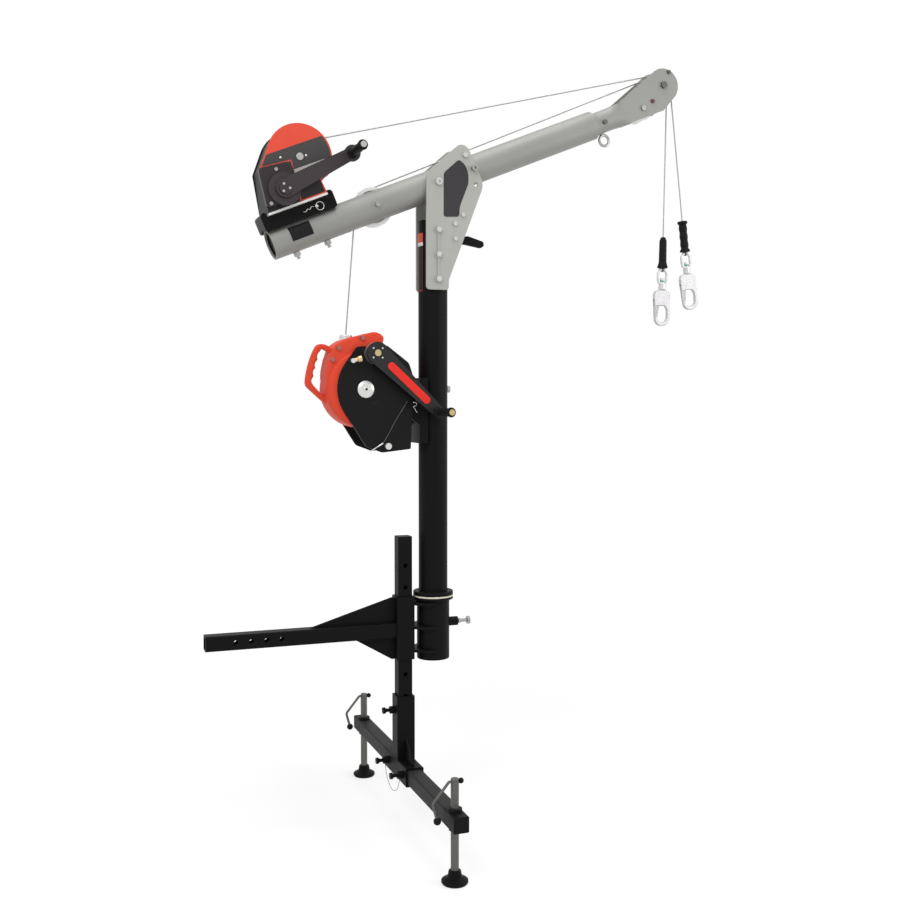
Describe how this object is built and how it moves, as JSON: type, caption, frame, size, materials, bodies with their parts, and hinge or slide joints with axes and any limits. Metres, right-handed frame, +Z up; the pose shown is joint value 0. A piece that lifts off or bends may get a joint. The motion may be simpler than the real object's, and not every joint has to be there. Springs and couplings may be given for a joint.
{
  "type": "davit crane",
  "caption": "Hitch-mounted davit crane: swivelling mast, luffing boom with hand winch and lifeline block, twin snap hooks, adjustable leg with levelling jacks.",
  "frame": {"origin": "middle of the outermost hitch-pin hole of the bar", "axes": "+X along the hitch bar to the boom head, +Y along the hitch pin, +Z up the mast"},
  "size_m": [1.8551, 1.156, 2.7106],
  "materials": {
    "black_coat": "satin black powder coat",
    "grey_bar": "dark grey powder coat",
    "bare_steel": "bare machined steel",
    "zinc_steel": "zinc plated steel",
    "boom_alloy": "satin silver-grey aluminium",
    "black_plastic": "black moulded plastic",
    "cream_plastic": "cream acetal",
    "white_nylon": "white nylon",
    "rubber": "black rubber",
    "red_cast": "red-orange paint",
    "black_plate": "black painted plate",
    "brass_fittings": "brass and bright fittings",
    "wire_rope": "galvanised wire rope",
    "hook_steel": "bright plated forging"
  },
  "bodies": {
    "hitch_frame": {"hitch_bar": "black_coat", "frame_plates": "black_coat", "post_box": "black_coat", "mast_socket": "black_coat", "bearing_ring": "cream_plastic"},
    "mast_lock": {"mast_plunger": "zinc_steel"},
    "post_lock": {"post_plunger": "zinc_steel"},
    "post": {"post_tube": "black_coat"},
    "leg": {"leg_frame": "black_coat"},
    "leg_lock": {"leg_plunger": "zinc_steel"},
    "bar_lock_near": {"bar_plunger_near": "zinc_steel"},
    "bar_lock_far": {"bar_plunger_far": "zinc_steel"},
    "crossbar": {"crossbar_tube": "grey_bar", "crossbar_caps": "black_plastic", "jack_nuts": "bare_steel"},
    "jack_near": {"jack_screw_near": "bare_steel"},
    "jack_far": {"jack_screw_far": "bare_steel"},
    "pad_near": {"foot_pad_near": "black_plate"},
    "pad_far": {"foot_pad_far": "black_plate"},
    "mast": {"mast_tube": "black_coat", "hinge_plates": "boom_alloy", "hinge_bolts": "zinc_steel", "lifeline_housing": "red_cast", "lifeline_plates": "black_plate", "lifeline_fittings": "brass_fittings", "lifeline_bracket": "black_coat", "lifeline_rise": "wire_rope"},
    "boom_lock": {"boom_lock_bolt": "zinc_steel"},
    "lever": {"release_lever": "black_coat"},
    "boom": {"boom_tube": "boom_alloy", "boom_plug": "black_plastic", "nose_tube": "boom_alloy", "head_plates": "boom_alloy", "boom_bolts": "zinc_steel", "eye_bolt": "zinc_steel", "winch_bracket": "black_coat", "winch_base": "zinc_steel", "winch_sides": "black_coat", "drum_guard": "black_coat", "gear_cover": "black_coat", "boom_lines": "wire_rope"},
    "sheave_near": {"head_sheave_near": "white_nylon"},
    "sheave_far": {"head_sheave_far": "white_nylon"},
    "sheave_rear": {"rear_sheave": "white_nylon"},
    "roller": {"guide_roller": "white_nylon"},
    "drum": {"winch_drum": "bare_steel"},
    "crank": {"winch_crank": "black_coat"},
    "crank_grip": {"winch_grip": "rubber"},
    "life_crank": {"lifeline_crank": "black_plate"},
    "life_grip": {"lifeline_grip": "rubber"},
    "winch_swing": {"winch_drop_line": "wire_rope"},
    "winch_lift": {"winch_hook_grip": "rubber", "winch_hook_eye": "hook_steel"},
    "winch_snap": {"winch_snap_body": "hook_steel"},
    "winch_gate": {"winch_snap_gate": "hook_steel"},
    "life_swing": {"lifeline_drop_line": "wire_rope"},
    "life_lift": {"lifeline_hook_grip": "rubber", "lifeline_hook_eye": "hook_steel"},
    "life_snap": {"lifeline_snap_body": "hook_steel"},
    "life_gate": {"lifeline_snap_gate": "hook_steel"}
  },
  "joints": [
    {"name": "mast_lock_slide", "type": "slide", "parent": "hitch_frame", "child": "mast_lock", "axis": [-1, 0, 0], "range_m": [0, 0.0035]},
    {"name": "post_lock_slide", "type": "slide", "parent": "hitch_frame", "child": "post_lock", "axis": [0, -1, 0], "range_m": [0, 0.01]},
    {"name": "post_slide", "type": "slide", "parent": "hitch_frame", "child": "post", "axis": [0, 0, 1], "range_m": [-0.1524, 0.0762]},
    {"name": "leg_slide", "type": "slide", "parent": "post", "child": "leg", "axis": [0, 0, 1], "range_m": [-0.0508, 0.0508]},
    {"name": "leg_lock_slide", "type": "slide", "parent": "leg", "child": "leg_lock", "axis": [1, 0, 0], "range_m": [0, 0.01]},
    {"name": "bar_lock_near_slide", "type": "slide", "parent": "leg", "child": "bar_lock_near", "axis": [1, 0, 0], "range_m": [0, 0.01]},
    {"name": "bar_lock_far_slide", "type": "slide", "parent": "leg", "child": "bar_lock_far", "axis": [1, 0, 0], "range_m": [0, 0.01]},
    {"name": "crossbar_slide", "type": "slide", "parent": "leg", "child": "crossbar", "axis": [0, 1, 0], "range_m": [-0.0254, 0.0254]},
    {"name": "jack_near_climb", "type": "slide", "parent": "crossbar", "child": "jack_near", "axis": [0, 0, 1], "range_m": [-0.045, 0.12]},
    {"name": "pad_near_swivel", "type": "hinge", "parent": "jack_near", "child": "pad_near", "pos_m": [0.585, -0.52, -0.66], "axis": [0, 0, 1], "continuous": true},
    {"name": "jack_far_climb", "type": "slide", "parent": "crossbar", "child": "jack_far", "axis": [0, 0, 1], "range_m": [-0.045, 0.12]},
    {"name": "pad_far_swivel", "type": "hinge", "parent": "jack_far", "child": "pad_far", "pos_m": [0.585, 0.52, -0.66], "axis": [0, 0, 1], "continuous": true},
    {"name": "mast_swivel", "type": "hinge", "parent": "hitch_frame", "child": "mast", "pos_m": [0.695, 0, 0.11], "axis": [0, 0, 1], "continuous": true},
    {"name": "boom_luff", "type": "hinge", "parent": "mast", "child": "boom", "pos_m": [0.695, 0, 1.545], "axis": [0, -1, 0], "range_deg": [-22.5, 22.5], "deforming": ["lifeline_rise"]},
    {"name": "boom_lock_slide", "type": "slide", "parent": "mast", "child": "boom_lock", "axis": [0, 1, 0], "range_m": [0, 0.01]},
    {"name": "lever_lift", "type": "hinge", "parent": "mast", "child": "lever", "pos_m": [0.7565, 0, 1.3542], "axis": [0, -1, 0], "range_deg": [0, 35]},
    {"name": "crank_turn", "type": "hinge", "parent": "boom", "child": "crank", "pos_m": [0.15571, 0, 1.479], "axis": [0, 1, 0], "range_deg": [-1263.8, 1263.8]},
    {"name": "crank_grip_spin", "type": "hinge", "parent": "crank", "child": "crank_grip", "pos_m": [0.37865, -0.15, 1.60685], "axis": [0, 1, 0], "continuous": true},
    {"name": "drum_turn", "type": "hinge", "parent": "boom", "child": "drum", "pos_m": [0.21179, 0, 1.59055], "axis": [0, -1, 0], "range_deg": [-317, 317]},
    {"name": "sheave_near_turn", "type": "hinge", "parent": "boom", "child": "sheave_near", "pos_m": [1.58306, -0.012, 1.96058], "axis": [0, -1, 0], "range_deg": [-383, 383]},
    {"name": "life_crank_turn", "type": "hinge", "parent": "mast", "child": "life_crank", "pos_m": [0.464, 0, 0.956], "axis": [0, -1, 0], "range_deg": [-1263.8, 1263.8]},
    {"name": "life_grip_spin", "type": "hinge", "parent": "life_crank", "child": "life_grip", "pos_m": [0.68, -0.15, 0.758], "axis": [0, 1, 0], "continuous": true},
    {"name": "sheave_rear_turn", "type": "hinge", "parent": "boom", "child": "sheave_rear", "pos_m": [0.48066, 0.012, 1.45622], "axis": [0, -1, 0], "range_deg": [-287, 287]},
    {"name": "sheave_far_turn", "type": "hinge", "parent": "boom", "child": "sheave_far", "pos_m": [1.58306, 0.012, 1.96058], "axis": [0, -1, 0], "range_deg": [-383, 383]},
    {"name": "roller_turn", "type": "hinge", "parent": "boom", "child": "roller", "pos_m": [1.49814, 0, 1.86901], "axis": [0, 1, 0], "continuous": true},
    {"name": "winch_swing_turn", "type": "hinge", "parent": "boom", "child": "winch_swing", "pos_m": [1.58306, -0.012, 1.96058], "axis": [0, -1, 0], "range_deg": [-22.5, 22.5]},
    {"name": "winch_hoist", "type": "slide", "parent": "winch_swing", "child": "winch_lift", "axis": [-0.1167, 0, 0.9932], "range_m": [-0.3, 0.3], "deforming": ["winch_drop_line"]},
    {"name": "winch_snap_swivel", "type": "hinge", "parent": "winch_lift", "child": "winch_snap", "pos_m": [1.70873, -0.012, 1.27657], "axis": [-0.1167, 0, 0.9932], "continuous": true},
    {"name": "winch_gate_swing", "type": "hinge", "parent": "winch_snap", "child": "winch_gate", "pos_m": [1.68606, -0.012, 1.22528], "axis": [0, -1, 0], "range_deg": [0, 40], "stiffness_Nm_per_rad": 0.08, "springref_deg": -28.65},
    {"name": "life_swing_turn", "type": "hinge", "parent": "boom", "child": "life_swing", "pos_m": [1.58306, 0.012, 1.96058], "axis": [0, -1, 0], "range_deg": [-22.5, 22.5]},
    {"name": "life_hoist", "type": "slide", "parent": "life_swing", "child": "life_lift", "axis": [0.0175, 0, 0.9998], "range_m": [-0.3, 0.3], "deforming": ["lifeline_drop_line"]},
    {"name": "life_snap_swivel", "type": "hinge", "parent": "life_lift", "child": "life_snap", "pos_m": [1.61505, 0.012, 1.21491], "axis": [0.0175, 0, 0.9998], "continuous": true},
    {"name": "life_gate_swing", "type": "hinge", "parent": "life_snap", "child": "life_gate", "pos_m": [1.58572, 0.012, 1.16711], "axis": [0, -1, 0], "range_deg": [0, 40], "stiffness_Nm_per_rad": 0.08, "springref_deg": -28.65}
  ],
  "couplings": [
    {"joint": "drum_turn", "follows": "crank_turn", "ratio": 0.25},
    {"joint": "sheave_near_turn", "follows": "crank_turn", "ratio": 0.30222},
    {"joint": "winch_hoist", "follows": "crank_turn", "m_per_rad": 0.0136},
    {"joint": "sheave_rear_turn", "follows": "life_crank_turn", "ratio": 0.22667},
    {"joint": "sheave_far_turn", "follows": "life_crank_turn", "ratio": 0.30222},
    {"joint": "life_hoist", "follows": "life_crank_turn", "m_per_rad": 0.0136},
    {"joint": "winch_swing_turn", "follows": "boom_luff", "ratio": -1},
    {"joint": "life_swing_turn", "follows": "boom_luff", "ratio": -1}
  ]
}
